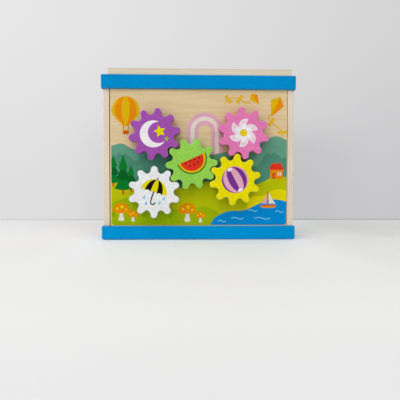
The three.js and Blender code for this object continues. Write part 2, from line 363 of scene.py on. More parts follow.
def plywood(
    node, veneer, layer_axis, layers, fibre_axis, from_high=False, skin=None, cut_dark=False, wear=0.25
):
    """Plywood: its layers lie across one axis of the node's box, so they show wherever an edge
    cuts them. A skin is another veneer on the last layer, whose cut edge may be darker."""
    recipe = Recipe(node + "_ply")
    base, dark = (linear(*tone) for tone in veneer)
    low, high = (corner[layer_axis] for corner in node_box(node))
    start, end = (high, low) if from_high else (low, high)
    figure_axis = ALONG_X + ALONG_Y + ALONG_Z - layer_axis - fibre_axis
    face, fibres = fibre_tones(recipe, base, dark, fibre_axis, figure_axis)
    place = recipe.split(recipe.object_place)[layer_axis]
    from_start = recipe.maths("SUBTRACT", place, start * MM)
    depth = recipe.times(from_start, layers / ((end - start) * MM))
    waver = recipe.times(recipe.maths("SUBTRACT", recipe.noise(30), 0.5), LAYER_WAVER)
    turn = recipe.maths("PINGPONG", recipe.maths("ADD", depth, waver), 1.0)
    past_first = recipe.maths("GREATER_THAN", depth, 0.5)
    before_last = recipe.maths("LESS_THAN", depth, layers - 0.5)
    inside = recipe.times(past_first, before_last)
    if skin:
        skin = [linear(*tone) for tone in skin]
        flatness = recipe.absolute(recipe.split(recipe.normal)[layer_axis])
        cut = face
        if cut_dark:
            cut = recipe.fade(fibres, *SOFT, scaled(base, 0.82), scaled(skin[1], 0.95), most=0.6)
        skin_face, _ = fibre_tones(recipe, *skin, fibre_axis, figure_axis)
        last_layer = recipe.fade(flatness, 0.5, 0.95, cut, skin_face)
        face = recipe.mix(recipe.maths("GREATER_THAN", depth, layers - 1.0), face, last_layer)
    crossing = recipe.times(recipe.spread(turn, 0.42, 0.58), inside)
    pores = recipe.noise(1600)
    end_grain = recipe.fade(pores, 0.35, 0.7, scaled(base, 0.93), scaled(dark, 0.92), most=0.55)
    tone = recipe.mix(crossing, face, end_grain)
    near = recipe.absolute(recipe.maths("SUBTRACT", turn, 0.5))
    seam = recipe.times(recipe.spread(near, 0.0, 0.09, 0.4, 0.0), inside)
    tone = recipe.mix(seam, tone, scaled(dark, 0.62))
    tone = recipe.mix(recipe.times(edge_mask(recipe), wear), tone, scaled(base, 1.12))
    height = recipe.mix(crossing, fibres, pores)
    shine = recipe.spread(fibres, *SOFT, 0.5, 0.62)
    normal = recipe.bump(height, 0.08, 0.6)
    return recipe.finish(Base_Color=tone, Roughness=shine, Normal=normal, Specular_IOR_Level=WOOD_SHINE)


def solid_wood(name, base, dark, fibre_axis):
    """Plain wood, planed or turned."""
    recipe, base, dark = Recipe(name), linear(*base), linear(*dark)
    tone, fibres = fibre_tones(recipe, base, dark, fibre_axis, (fibre_axis + 1) % 3)
    shine = recipe.spread(fibres, *SOFT, 0.55, 0.7)
    normal = recipe.bump(fibres, 0.1, 0.7)
    return recipe.finish(Base_Color=tone, Roughness=shine, Normal=normal, Specular_IOR_Level=WOOD_SHINE)


def ink(name, colour):
    """A thin printed colour: the wood's fibres and flecks still tell through it."""
    recipe, colour = Recipe(name), linear(*colour)
    fibres = recipe.noise(along(ALONG_X, *FIBRES), detail=4)
    flecks = recipe.noise(along(ALONG_X, *FLECKS))
    tone = recipe.fade(recipe.noise(60, detail=3), *SOFT, scaled(colour, 0.95), scaled(colour, 1.05))
    tone = recipe.fade(fibres, 0.35, 0.75, tone, scaled(colour, 0.82), most=0.3)
    tone = recipe.fade(flecks, 0.68, 0.8, tone, scaled(colour, 0.7), most=0.35)
    shine = recipe.spread(fibres, *SOFT, 0.4, 0.52)
    normal = recipe.bump(fibres, 0.05, 0.5)
    return recipe.finish(Base_Color=tone, Roughness=shine, Normal=normal, Specular_IOR_Level=PAINT_SHINE)


def metal(name, colour):
    """Plated steel, a little blotched."""
    recipe = Recipe(name)
    blotch = recipe.noise(500, detail=4)
    tone = recipe.fade(blotch, *FIRM, scaled(colour, 0.8), colour)
    shine = recipe.spread(blotch, *SOFT, 0.28, 0.42)
    normal = recipe.bump(blotch, 0.03, 0.5)
    return recipe.finish(Base_Color=tone, Roughness=shine, Normal=normal, Metallic=1.0)


def plastic(name, colour):
    """Moulded plastic with a faintly uneven surface."""
    recipe, colour = Recipe(name), linear(*colour)
    cloud = recipe.noise(300, detail=3)
    tone = recipe.fade(cloud, *SOFT, scaled(colour, 0.95), colour)
    shine = recipe.spread(cloud, *SOFT, 0.42, 0.55)
    normal = recipe.bump(cloud, 0.03, 0.4)
    return recipe.finish(Base_Color=tone, Roughness=shine, Normal=normal)


# Meshes


def new_object(name, data):
    made = bpy.data.objects.new(name, data)
    bpy.context.scene.collection.objects.link(made)
    return made


def placing(place, across, up):
    """The matrix from a piece's own millimetres (across, up, out) to the row's metres."""
    out = across.cross(up)
    turn = Matrix((across, up, out)).transposed()
    return Matrix.Translation(place) @ (turn * MM).to_4x4()


class Shell:
    """Points and faces of one closed piece, in its own millimetres."""

    def __init__(self):
        self.points = []
        self.faces = []

    def ring(self, loop, height):
        first = len(self.points)
        self.points += [(x, y, height) for x, y in loop]
        return list(range(first, len(self.points)))

    def wall(self, lower, upper, inward=False):
        count = len(lower)
        for i in range(count):
            j = (i + 1) % count
            face = (lower[i], lower[j], upper[j], upper[i])
            self.faces.append(face[::-1] if inward else face)

    def cap(self, outer, holes=(), facing_down=False):
        rings = [outer, *holes]
        members = [index for ring in rings for index in ring]
        flat = [Vector(self.points[index][:2]) for index in members]
        loops, start = [], 0
        for ring in rings:
            loops.append(list(range(start, start + len(ring))))
            start += len(ring)
        made = delaunay_2d_cdt(flat, [], loops, 1, CAP_TOLERANCE, True)
        source = [members[found[0]] for found in made[3]]
        for triangle, inside in zip(made[2], made[5]):
            if inside == [0]:
                face = tuple(source[corner] for corner in triangle)
                self.faces.append(face[::-1] if facing_down else face)

    def piece(self, name, matrix, material, body):
        mesh = bpy.data.meshes.new(name)
        mesh.from_pydata([matrix @ Vector(point) for point in self.points], [], self.faces)
        mesh.materials.append(material)
        mesh.shade_smooth()
        mesh.set_sharp_from_angle(angle=SHARP_ANGLE)
        made = new_object(name, mesh)
        weighted = made.modifiers.new("Even shading", "WEIGHTED_NORMAL")
        weighted.keep_sharp = True
        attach(made, body)
        return made


def polar(radius, angle, x=0, y=0):
    """The point at an angle and a distance from another."""
    return (x + radius * cos(angle), y + radius * sin(angle))


def circle(centre, radius, steps=BORE_STEPS):
    return [polar(radius, 2 * pi * i / steps, *centre) for i in range(steps)]


def rounded_rectangle(width, height, radius):
    """A function that gives the loop of a rectangle with round corners, drawn in by an offset."""

    def loop_at(offset):
        points = []
        bend = max(radius - offset, LEAST_BEND)
        x, y = width / 2 - offset - bend, height / 2 - offset - bend
        for quarter, (sx, sy) in enumerate(((1, 1), (-1, 1), (-1, -1), (1, -1))):
            for i in range(CORNER_STEPS + 1):
                angle = (quarter + i / CORNER_STEPS) * pi / 2
                points.append(polar(bend, angle, sx * x, sy * y))
        return points

    return loop_at


def gear_outline(phase):
    """A function that gives the gear's loop, drawn in by an offset: round tips and roots, and
    straight flanks."""
    pitch_radius = GEAR_MODULE * GEAR_TEETH / 2
    tip_radius = pitch_radius + ADDENDUM_SHARE * GEAR_MODULE
    root_radius = pitch_radius - DEDENDUM_SHARE * GEAR_MODULE
    tip_round = TIP_ROUND_SHARE * GEAR_MODULE
    half_tooth = pi / GEAR_TEETH
    tip_centre = tip_radius - tip_round
    facing = cos(FLANK_ANGLE - half_tooth)
    flank_reach = tip_centre * cos(FLANK_ANGLE) + tip_round
    root_round = (root_radius * facing - flank_reach) / (1 - facing)
    root_x, root_y = polar(root_radius + root_round, half_tooth)

    def loop_at(offset):
        points = []
        for tooth in range(GEAR_TEETH):
            turn = phase + 2 * half_tooth * tooth
            c, s = cos(turn), sin(turn)
            curve = []
            for i in range(TIP_STEPS + 1):
                angle = FLANK_ANGLE * (2 * i / TIP_STEPS - 1)
                curve.append(polar(tip_round - offset, angle, tip_centre))
            first, last = FLANK_ANGLE + pi, 2 * half_tooth + pi - FLANK_ANGLE
            for i in range(ROOT_STEPS + 1):
                angle = first + (last - first) * i / ROOT_STEPS
                curve.append(polar(root_round + offset, angle, root_x, root_y))
            points += [(x * c - y * s, x * s + y * c) for x, y in curve]
        return points

    return loop_at


def edge_round(ease):
    """The offsets and depths of a rounded edge, from the face to the side."""
    angles = [i / EASE_STEPS * pi / 2 for i in range(EASE_STEPS + 1)]
    return [(ease * (1 - sin(angle)), ease * (1 - cos(angle))) for angle in angles]


def eased_shell(loop_at, thickness, ease, holes, back_ease=None):
    """A plate from height zero up, its edges rounded, where the back may have another round. Each
    hole is a centre and the (radius, depth) pairs of its wall from the back; it goes through where
    the last depth is the thickness."""
    shell = Shell()
    levels = edge_round(back_ease or ease)
    levels += [(offset, thickness - depth) for offset, depth in reversed(edge_round(ease))]
    rings = [shell.ring(loop_at(offset), height) for offset, height in levels]
    for lower, upper in zip(rings, rings[1:]):
        shell.wall(lower, upper)
    mouths, exits = [], []
    for centre, walls in holes:
        bores = [shell.ring(circle(centre, radius), depth) for radius, depth in walls]
        for lower, upper in zip(bores, bores[1:]):
            shell.wall(lower, upper, inward=True)
        mouths.append(bores[0])
        if walls[-1][1] == thickness:
            exits.append(bores[-1])
        else:
            shell.faces.append(tuple(reversed(bores[-1])))
    shell.cap(rings[0], mouths, facing_down=True)
    shell.cap(rings[-1], exits)
    return shell


def node_box(name):
    """A node's lowest and highest corners in millimetres."""
    low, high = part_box(name)
    return low / MM, high / MM


def node_radius(name):
    """The radius of a round node that points forward."""
    low, high = node_box(name)
    return (high.x - low.x) / 2


def plate(node, across, up, radius, ease, material, holes=None, back_ease=None):
    """A finer plate in a CAD plate's place, with its holes given in the plate's own frame."""
    low, high = node_box(node)
    middle, size = (low + high) / 2, high - low
    out = across.cross(up)
    width, height, thickness = (abs(size.dot(axis)) for axis in (across, up, out))
    walls = holes(thickness) if holes else ()
    shell = eased_shell(rounded_rectangle(width, height, radius), thickness, ease, walls, back_ease)
    matrix = placing((middle - out * thickness / 2) * MM, across, up)
    made = shell.piece("fine_" + node, matrix, material, "box")
    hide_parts(node)


# Drawing for the printed scene and the gears


def moved(loop, x=0, y=0, turn=0, size=1):
    """A loop made larger or smaller, turned by some degrees, and shifted."""
    angle = radians(turn)
    c, s = cos(angle) * size, sin(angle) * size
    return [(x + px * c - py * s, y + px * s + py * c) for px, py in loop]


def block(x, y, width, height):
    """A rectangle round its middle."""
    corners = ((-0.5, -0.5), (0.5, -0.5), (0.5, 0.5), (-0.5, 0.5))
    return [(x + px * width, y + py * height) for px, py in corners]


def disc(x, y, radius, squash=1, turn=0):
    steps = max(16, round(2 * pi * radius / CURVE_STEP))
    return moved([(px, py * squash) for px, py in circle((0, 0), radius, steps)], x, y, turn)


def arc(radius, first, last, x=0, y=0):
    """Points on part of a circle, angles in degrees."""
    steps = max(3, round(radians(abs(last - first)) * radius / CURVE_STEP))
    return [polar(radius, radians(first + (last - first) * i / steps), x, y) for i in range(steps + 1)]


def star(radius):
    """A star with five points."""
    reach = (radius, radius / 2)
    return [polar(reach[i % 2], pi / 2 + i * pi / 5) for i in range(10)]


def smoothed(points, closed=False, steps=8):
    """A smooth curve through the points."""
    count = len(points)
    loop = []
    for i in range(count if closed else count - 1):
        around = [(i + k) % count if closed else min(max(i + k, 0), count - 1) for k in (-1, 0, 1, 2)]
        for k in range(steps):
            t = k / steps
            weights = (
                (-t + 2 * t**2 - t**3) / 2,
                (2 - 5 * t**2 + 3 * t**3) / 2,
                (t + 4 * t**2 - 3 * t**3) / 2,
                (-(t**2) + t**3) / 2,
            )
            loop.append(tuple(sum(w * points[n][axis] for w, n in zip(weights, around)) for axis in (0, 1)))
    if not closed:
        loop.append(points[-1])
    return loop


def resampled(loop):
    """The loop without points that sit on top of each other."""
    kept = []
    for point in loop:
        if not kept or dist(point, kept[-1]) > SAME_POINT:
            kept.append(point)
    return kept


def stroke(points, width, end_width=None):
    """A line of a given width with round ends, which may taper."""
    end_width = width if end_width is None else end_width
    left, right = [], []
    last = len(points) - 1
    for i, (x, y) in enumerate(points):
        ax, ay = points[max(i - 1, 0)]
        bx, by = points[min(i + 1, last)]
        length = hypot(bx - ax, by - ay)
        half = (width + (end_width - width) * i / last) / 2
        nx, ny = -(by - ay) / length * half, (bx - ax) / length * half
        left.append((x + nx, y + ny))
        right.append((x - nx, y - ny))

    def end(index, other, half):
        x, y = points[index]
        heading = degrees(atan2(y - points[other][1], x - points[other][0]))
        return [polar(half, radians(heading + turn), x, y) for turn in (-60, -30, 0, 30, 60)]

    far = end(last, last - 1, end_width / 2)
    near = end(0, 1, width / 2)
    return right + far + left[::-1] + near


def below(ridge, floor):
    """The region under a ridge line that runs from left to right."""
    return [(ridge[0][0], floor), (ridge[-1][0], floor), *reversed(ridge)]


def crescent(radius, half_opening, shift):
    """A moon that opens to the right: a circle less another one through both its tips."""
    outer = arc(radius, half_opening, 360 - half_opening)
    tip_x, tip_y = outer[0]
    reach = hypot(tip_x - shift, tip_y)
    tip_angle = degrees(atan2(tip_y, tip_x - shift))
    inner = arc(reach, 360 - tip_angle, tip_angle, shift, 0)
    return outer + inner[1:-1]


def covers(loop, places):
    """Which of the places lie inside a loop, one that may cross itself."""
    points = np.array(loop)
    after = np.roll(points, -1, axis=0)
    x, y = places[:, :1], places[:, 1:]
    (px, py), (step_x, step_y) = points.T, (after - points).T
    side = step_x * (y - py) - (x - px) * step_y
    rising = (py <= y) & (after[:, 1] > y) & (side > 0)
    falling = (py > y) & (after[:, 1] <= y) & (side < 0)
    return rising.sum(axis=1) != falling.sum(axis=1)


def print_sheet(name, shapes, matrix, body, inside, bare=()):
    """Lays shapes, each an ink and a loop, over each other on a flat face, and makes one closed
    sheet for each ink from what stays in sight. The print keeps within the loop inside and clear
    of the loops in bare."""
    layers = [*shapes, *((None, loop) for loop in bare)]
    flat, edges = [], []
    for loop in (inside, *(loop for _, loop in layers)):
        first, count = len(flat), len(loop)
        flat += [Vector(point) for point in loop]
        edges += [(first + i, first + (i + 1) % count) for i in range(count)]
    points, _, triangles, *_ = delaunay_2d_cdt(flat, edges, [], 0, PRINT_TOLERANCE, False)
    corners = np.array(points)[np.array(triangles)]
    middles = corners.mean(axis=1)
    inks = np.zeros(len(triangles), int)
    for number, (_, loop) in enumerate(layers, 1):
        inks[covers(loop, middles)] = number
    inks[~covers(inside, middles)] = 0
    sheets = {}
    for triangle, number in zip(triangles, inks):
        colour = layers[number - 1][0] if number else None
        if colour:
            sheets.setdefault(colour, []).append(tuple(triangle))
    for colour, faces in sorted(sheets.items()):
        shell = Shell()
        used = sorted({corner for face in faces for corner in face})
        low = dict(zip(used, shell.ring([points[i] for i in used], 0)))
        high = dict(zip(used, shell.ring([points[i] for i in used], INK_THICKNESS)))
        edges = {(face[i], face[(i + 1) % 3]) for face in faces for i in range(3)}
        for face in faces:
            shell.faces.append(tuple(high[i] for i in face))
            shell.faces.append(tuple(low[i] for i in reversed(face)))
        for a, b in sorted(edges):
            if (b, a) not in edges:
                shell.faces.append((low[a], low[b], high[b], high[a]))
        piece = shell.piece(name + "_" + colour, matrix, ink_materials[colour], body)


# What is printed on the panel


def pine(x, base, width, height):
    """A pine of three tiers on a short trunk."""
    shapes = [("rust", block(x, base + height * 0.06, width * 0.12, height * 0.2))]
    for tier in range(3):
        low = base + height * (0.12 + 0.26 * tier)
        half = width / 2 * (1 - 0.24 * tier)
        top = low + height * 0.38
        curve = smoothed([(x - half, low), (x - half * 0.4, low - height * 0.035), (x, low - height * 0.045)])
        other = [(2 * x - px, py) for px, py in reversed(curve)]
        shapes.append(("deep_green" if tier % 2 else "dark_green", curve + other[1:] + [(x, top)]))
    return shapes


def mushroom(x, base, size):
    """A mushroom as high as its size, with a spotted cap."""
    stem = [(-0.16, 0.0), (0.16, 0.0), (0.1, 0.3), (0.12, 0.62), (-0.12, 0.62), (-0.1, 0.3)]
    stem = smoothed(stem, closed=True, steps=5)
    brim = smoothed([(-0.5, 0.5), (-0.3, 0.42), (0.0, 0.4), (0.3, 0.42), (0.5, 0.5)])
    cap = arc(size / 2, 0, 180, x, base + size / 2) + moved(brim, x, base, size=size)[1:-1]
    shapes = [("cream", moved(stem, x, base, size=size)), ("orange", resampled(cap))]
    for dx, dy, radius in ((-0.24, 0.66, 0.075), (0.04, 0.78, 0.09), (0.27, 0.62, 0.065)):
        shapes.append(("bright_yellow", disc(x + dx * size, base + dy * size, radius * size)))
    return shapes


def kite(x, y, size, turn, tail, bows):
    """A diamond kite with a cross seam, and a tail with bows."""
    diamond = [(0, -0.62), (0.36, 0.1), (0, 0.46), (-0.36, 0.1)]
    wing = [(0, 0), (2.4, 1.7), (4.6, 1.5), (4.2, 0), (4.6, -1.5), (2.4, -1.7)]
    wing = smoothed(wing, closed=True, steps=4)
    line = smoothed(tail)
    last = len(line) - 1
    shapes = [("ochre", stroke(line, 1.3, 1.0))]
    for share in bows:
        index = round(share * last)
        place, after = line[index], line[min(index + 1, last)]
        heading = degrees(atan2(after[1] - place[1], after[0] - place[0])) + 90
        shapes += [("ochre", moved(wing, *place, heading + way)) for way in (0, 180)]
    shapes.append(("ochre", moved(diamond, x, y, turn, size)))
    shapes.append(("orange", moved(diamond[:3], x, y, turn, size)))
    return shapes


def balloon(x, y, radius):
    """A hot-air balloon with five gores, its ropes and a basket."""
    steps, waist, mouth, stretch = 48, -0.3, 0.2, 1.18
    waist_width = cos(asin(waist))

    def envelope(share):
        points = []
        for i in range(steps + 1):
            angle = pi / 2 - pi * i / steps
            height, width = sin(angle), cos(angle)
            if height < waist:
                width = waist_width + (mouth - waist_width) * ((waist - height) / (1 + waist))
            height *= 1 if height > 0 else stretch
            points.append((x + share * radius * width, y + radius * height))
        return points

    shapes = []
    for side in (-1, 1):
        rope = [(x + side * radius * 0.2, y - radius * 1.12), (x + side * radius * 0.15, y - radius * 1.5)]
        shapes.append(("black", stroke(rope, 0.6)))
    shapes.append(("ochre", envelope(1) + envelope(-1)[::-1][1:-1]))
    for outer, inner in ((0.78, 0.3), (-0.3, -0.78)):
        shapes.append(("orange", resampled(envelope(outer) + envelope(inner)[::-1])))
    shapes.append(("rust", block(x, y - radius * 1.6, radius * 0.42, radius * 0.3)))
    shapes.append(("ochre", block(x, y - radius * 1.46, radius * 0.5, radius * 0.09)))
    return shapes


def house(x, base, width, height):
    """A small house with a pitched roof, a chimney, a door and a window."""
    wall = height * 0.58
    pane_x, pane_y = x + width * 0.22, base + wall * 0.56
    roof = [(-0.6, 0), (0.6, 0), (0.34, 0.42), (-0.34, 0.42)]
    return [
        ("rust", block(x + width * 0.24, base + height * 0.92, width * 0.14, height * 0.3)),
        ("orange", block(x, base + wall / 2, width, wall)),
        ("red", [(x + px * width, base + wall + py * height) for px, py in roof]),
        ("cream", block(pane_x, pane_y, width * 0.26, wall * 0.4)),
        ("rust", block(pane_x, pane_y, width * 0.05, wall * 0.4)),
        ("rust", block(x - width * 0.2, base + wall * 0.31, width * 0.24, wall * 0.62)),
        ("bright_yellow", disc(x - width * 0.13, base + wall * 0.3, width * 0.022)),
    ]


def sailboat(x, base, size):
    """A boat with two sails, as high as its size."""
    mast = stroke([(x - 0.02 * size, base + 0.1 * size), (x - 0.02 * size, base + 0.98 * size)], 0.06 * size)
    main_sail = [(0.04, 0.25), (0.46, 0.25), (0.3, 0.45), (0.18, 0.66), (0.04, 0.95)]
    fore_sail = [(-0.08, 0.25), (-0.08, 0.84), (-0.22, 0.56), (-0.4, 0.25)]
    hull = smoothed([(-0.5, 0.16), (-0.36, 0.0), (0.34, 0.0), (0.52, 0.18)], steps=6)
    stripe = [(-0.43, 0.1), (0.44, 0.1), (0.49, 0.15), (-0.49, 0.15)]
    parts = (("cream", main_sail), ("pale_pink", fore_sail), ("orange", hull), ("red", stripe))
    return [("rust", mast), *((colour, moved(loop, x, base, size=size)) for colour, loop in parts)]


def rainbow(x, base, radius, band, floor):
    """An arch of three bands round bare wood."""
    shapes = []
    for step, colour in enumerate(("pale_pink", "cream", "pale_pink", None)):
        reach = radius - band * step
        shapes.append((colour, [(x + reach, floor), *arc(reach, 0, 180, x, base), (x - reach, floor)]))
    return shapes


def panel_shapes(left, right, floor):
    """The scene from the far things to the near ones, in millimetres from the toy's middle and foot."""
    far_ridge = [
        (left, 94), (-80, 99), (-66, 93), (-48, 98), (-30, 92),
        (0, 86), (34, 92), (56, 97), (79, 107), (right, 100),
    ]
    near_ridge = [
        (left, 80), (-78, 92), (-66, 81), (-54, 88), (-38, 94), (-22, 84), (-12, 86),
        (4, 92), (20, 80), (34, 84), (60, 76), (74, 95), (86, 84), (right, 88),
    ]
    caps = [
        [(-78, 92), (-73.6, 88), (-76, 88.6), (-78.4, 86.4), (-80.4, 88.2), (-82.4, 87.2)],
        [(4, 92), (-1, 89.5), (1.6, 88.8), (3.6, 87), (6, 88.8), (8.6, 88.6)],
        [(74, 95), (69.4, 89), (72.2, 90.2), (74.4, 87.6), (76.4, 90), (80.2, 89.4)],
    ]
    meadow = [
        (left, 58), (-76, 62), (-56, 55), (-34, 50), (-12, 56),
        (14, 60), (38, 54), (62, 58), (80, 66), (right, 63),
    ]
    rise = [(left, 36), (-70, 44), (-44, 40), (-20, 30), (6, 34), (22, 26), (34, floor)]
    hay = [(50, 40), (58, 45), (68, 46), (76, 51), (84, 52), (right, 49)]
    lake = [(10, floor), (16, 22), (30, 29), (46, 30), (58, 35), (72, 41), (84, 41), (right, 38)]
    high_tail = [(76, 131), (72, 125), (79, 118), (86, 112), (84, 103), (77, 98)]
    low_tail = [(53, 141.5), (46, 142), (39, 146), (31, 145), (26, 140)]
    shapes = kite(80, 139, 21, -24, high_tail, (0.3, 0.62, 0.9))
    shapes += kite(57, 146, 13, 38, low_tail, (0.42, 0.78))
    shapes += rainbow(6, 112, 19, 4.2, 80)
    shapes.append(("pale_teal", below(smoothed(far_ridge), floor)))
    shapes.append(("teal", below(near_ridge, floor)))
    shapes += [("pale_teal", cap) for cap in caps]
    shapes += balloon(-75, 133, 14)
    shapes.append(("spring", below(smoothed(meadow), floor)))
    shapes += house(80.5, 63, 13.5, 16)
    shapes += pine(-88, 56, 15, 31)
    shapes += pine(-70, 50, 14, 27)
    shapes += pine(-78, 48, 18, 40)
    for colour, ridge in (("lime", rise), ("bright_yellow", hay), ("blue", lake)):
        shapes.append((colour, below(smoothed(ridge), floor)))
    wave = ((-0.5, 0), (-0.25, 0.9), (0, 0), (0.25, -0.9), (0.5, 0))
    for x, y, length in ((40, 22, 12), (66, 22, 16), (56, 30, 9), (84, 29, 8), (24, 19, 8)):
        ripple = smoothed([(x + share * length, y + lift) for share, lift in wave])
        shapes.append(("light_blue", stroke(ripple, 0.9)))
    shapes += sailboat(72, 33, 17)
    for x, y, size in ((-80, 20, 18), (-68, 19, 11), (-12, 19, 19), (1.5, 18, 11)):
        shapes += mushroom(x, y, size)
    blade = smoothed([(-0.7, 0), (0.7, 0), (0.35, 4), (0, 6.5), (-0.35, 4)], closed=True, steps=4)
    for x, y in ((-30, 22), (-46, 20.5), (-88, 24), (-57, 24)):
        shapes += [("moss", moved(blade, x, y, -lean)) for lean in (-26, 0, 26)]
    return shapes


# What is printed on the gears, in millimetres from each gear's middle


def moon_shapes():
    """A crescent moon with two stars."""
    return [
        ("white", moved(crescent(13.4, 48, 5.4), -1, 0, 16)),
        ("bright_yellow", moved(star(6.2), 5.4, 2.6, 14)),
        ("lime", moved(star(2.8), 12.2, -4.8, -10)),
    ]


def melon_shapes():
    """A slice of melon with black seeds."""
    lift, turn = 5.2, 24
    seeds = [(-7.2, -2.2), (-2.4, -1.6), (2.4, -1.6), (7.2, -2.2), (-4.6, -5.8), (0, -6.4), (4.6, -5.8)]
    halves = (("dark_green", 15.4), ("ochre", 14.2), ("red", 12.2))
    shapes = [(colour, moved(arc(radius, 180, 360), 0, lift, turn)) for colour, radius in halves]
    for (x, _), (px, py) in zip(seeds, moved(seeds, 0, lift, turn)):
        shapes.append(("black", disc(px, py, 1.15, 0.62, turn + 90 + x * 5)))
    return shapes


def bow(radius, share, angles):
    """A curve between two poles, bulging to a share of the radius."""
    return [(radius * share * cos(angle), radius * sin(angle)) for angle in angles]


def umbrella_shapes():
    """An open umbrella in the rain."""
    radius, turn, x, y = 13.5, -18, -0.6, -0.6
    handle = smoothed([(0, 1), (0, -8.5), (1.2, -11.2), (3.6, -11.2), (4.6, -9.0)])
    tip = [(0, radius - 1), (0, radius + 1.6)]
    shapes = [("black", moved(stroke(line, 1.2), x, y, turn)) for line in (handle, tip)]
    edges = [-1.0, -0.66, -0.24, 0.24, 0.66, 1.0]
    angles = [pi / 2 * k / 14 for k in range(15)]
    for i, (a, b) in enumerate(zip(edges, edges[1:])):
        sag = [(radius * (a + (b - a) * k / 6), 1.5 * sin(pi * k / 6)) for k in range(1, 6)]
        loop = bow(radius, b, angles) + bow(radius, a, angles)[::-1][1:] + sag
        shapes.append(("black" if i % 2 else "bright_yellow", moved(resampled(loop), x, y, turn)))
    drop = [(0, 2.4), (1.1, 0.2), (0.9, -1.2), (0, -1.8), (-0.9, -1.2), (-1.1, 0.2)]
    drop = smoothed(drop, closed=True, steps=5)
    for dx, dy in ((-9.8, -5.4), (-8.0, -11.4), (5.6, -11.2), (9.8, -6.6)):
        shapes.append(("light_blue", moved(drop, dx, dy, turn)))
    return shapes


def ball_shapes():
    """A beach ball with six stripes, the seams between them and a cap at each pole."""
    radius, turn = 13.4, 28
    edges = [-1.0, -0.86, -0.5, 0.0, 0.5, 0.86, 1.0]
    angles = [pi * (k / 36 - 0.5) for k in range(37)]
    curves = [bow(radius, share, angles) for share in edges]
    shapes = []
    for i, (first, second) in enumerate(zip(curves, curves[1:])):
        loop = resampled(second + first[::-1])
        shapes.append(("pale_pink" if i % 2 else "purple", moved(loop, 0, 0, turn)))
    shapes += [("rose", moved(stroke(curve[1:-1], 0.45), 0, 0, turn)) for curve in curves[1:-1]]
    for end in (-1, 1):
        shapes.append(("white", moved(disc(0, end * radius * 0.86, 2.6, 0.62), 0, 0, turn)))
    return shapes


def pinwheel_shapes():
    """A paper pinwheel with six blades and a hub."""
    reach = 14.6
    leaf = arc(reach / 2, 0, 180, reach / 2, 0)
    fold = arc(reach * 0.3, 0, 180, reach * 0.34, 0)
    dot = disc(reach * 0.72, reach * 0.2, 0.75)
    shapes = []
    for blade in range(6):
        turn = 60 * blade + 12
        for colour, loop in (("blush", leaf), ("white", fold), ("ochre", dot)):
            shapes.append((colour, moved(loop, 0, 0, turn)))
    for colour, radius in (("ochre", 3.6), ("bright_yellow", 2.5), ("orange", 0.9)):
        shapes.append((colour, disc(0, 0, radius)))
    return shapes


GEAR_ART = {
    "green": melon_shapes,
    "purple": moon_shapes,
    "white": umbrella_shapes,
    "yellow": ball_shapes,
    "pink": pinwheel_shapes,
}


# The toy

# One blue paint in two tones, as painted light and shade: painted lighter on the bottom board and darker on
# the top board
blue_paints_lit_and_shaded = {
    "bottom_board": paint("blue_paint_below_painted_lighter", (0, 148, 214)),
    "top_board": paint("blue_paint_above_painted_darker", (0, 141, 206)),
}
plywoods = {
    "front_panel": plywood("front_panel", VENEER, ALONG_Y, PANEL_LAYERS, ALONG_X),
    "back_panel": plywood("back_panel", VENEER, ALONG_Y, PANEL_LAYERS, ALONG_X),
    "left_side": plywood("left_side", SIDE_VENEER, ALONG_X, SIDE_LAYERS, ALONG_Z, skin=INNER_VENEER),
    "right_side": plywood(
        "right_side", SIDE_VENEER, ALONG_X, SIDE_LAYERS, ALONG_Z, from_high=True, skin=INNER_VENEER
    ),
    "top_plate": plywood(
        "top_plate", PLATE_VENEER, ALONG_Z, PLATE_LAYERS, ALONG_X, skin=VENEER, cut_dark=True, wear=0.0
    ),
}
pine_wood = solid_wood("pine", (222, 192, 146), (200, 160, 104), ALONG_Z)
dowel_wood = solid_wood("beech_dowel", (222, 198, 152), (204, 170, 118), ALONG_Y)
zinc = metal("zinc_steel", ZINC)
nylon = plastic("nylon", (233, 231, 224))
ink_materials = {name: ink("ink_" + name, colour) for name, colour in INKS.items()}

wheel_places = {joint["child"]: Vector(joint["pos_m"]) / MM for joint in frame["joints"]}
axle_places = {colour: wheel_places[colour + "_wheel"].xz for colour in GEAR_PAINTS}


def make_boards():
    """The two boards, each with countersunk holes for its four screws from its outer face."""
    boards = (
        ("bottom_board", X, "bottom", UPPER_EASE, FOOT_EASE),
        ("top_board", -X, "top", BOARD_EASE, UPPER_EASE),
    )
    head, shank = SCREW_HEAD_RADIUS + PILOT_GAP, SCREW_RADIUS + PILOT_GAP
    cone_end = SCREW_SINK + SCREW_HEAD_HEIGHT
    for node, across, end, ease, back_ease in boards:
        low, high = node_box(node)
        middle = (low + high) / 2

        def holes(thickness):
            made = []
            for corner in ("front_left", "front_right", "back_left", "back_right"):
                screw_low, screw_high = node_box(f"{end}_screw_{corner}")
                place = (screw_low + screw_high) / 2 - middle
                walls = [(head, 0), (head, SCREW_SINK), (shank, cone_end), (shank, thickness)]
                made.append(((place.dot(across), place.y), walls))
            return made

        plate(node, across, Y, BOARD_CORNER_RADIUS, ease, blue_paints_lit_and_shaded[node], holes, back_ease)


def make_plates():
    """The plywood plates, of which the front panel has a bore for each axle."""
    low, high = node_box("front_panel")
    middle = (low + high) / 2
    bore = node_radius("green_axle") + GLUE_GAP

    def holes(thickness):
        places = [(x - middle.x, z - middle.z) for x, z in axle_places.values()]
        return [(place, [(bore, 0), (bore, thickness)]) for place in places]

    for node, across, up, slot, bores in (
        ("top_plate", X, Y, "bare_plywood", None),
        ("left_side", -Y, Z, "bare_plywood", None),
        ("right_side", Y, Z, "bare_plywood", None),
        ("back_panel", -X, Z, "bare_plywood", None),
        ("front_panel", X, Z, "printed_plywood", holes),
    ):
        plate(node, across, up, PLY_CORNER_RADIUS, PLY_EASE, plywoods[node], bores)


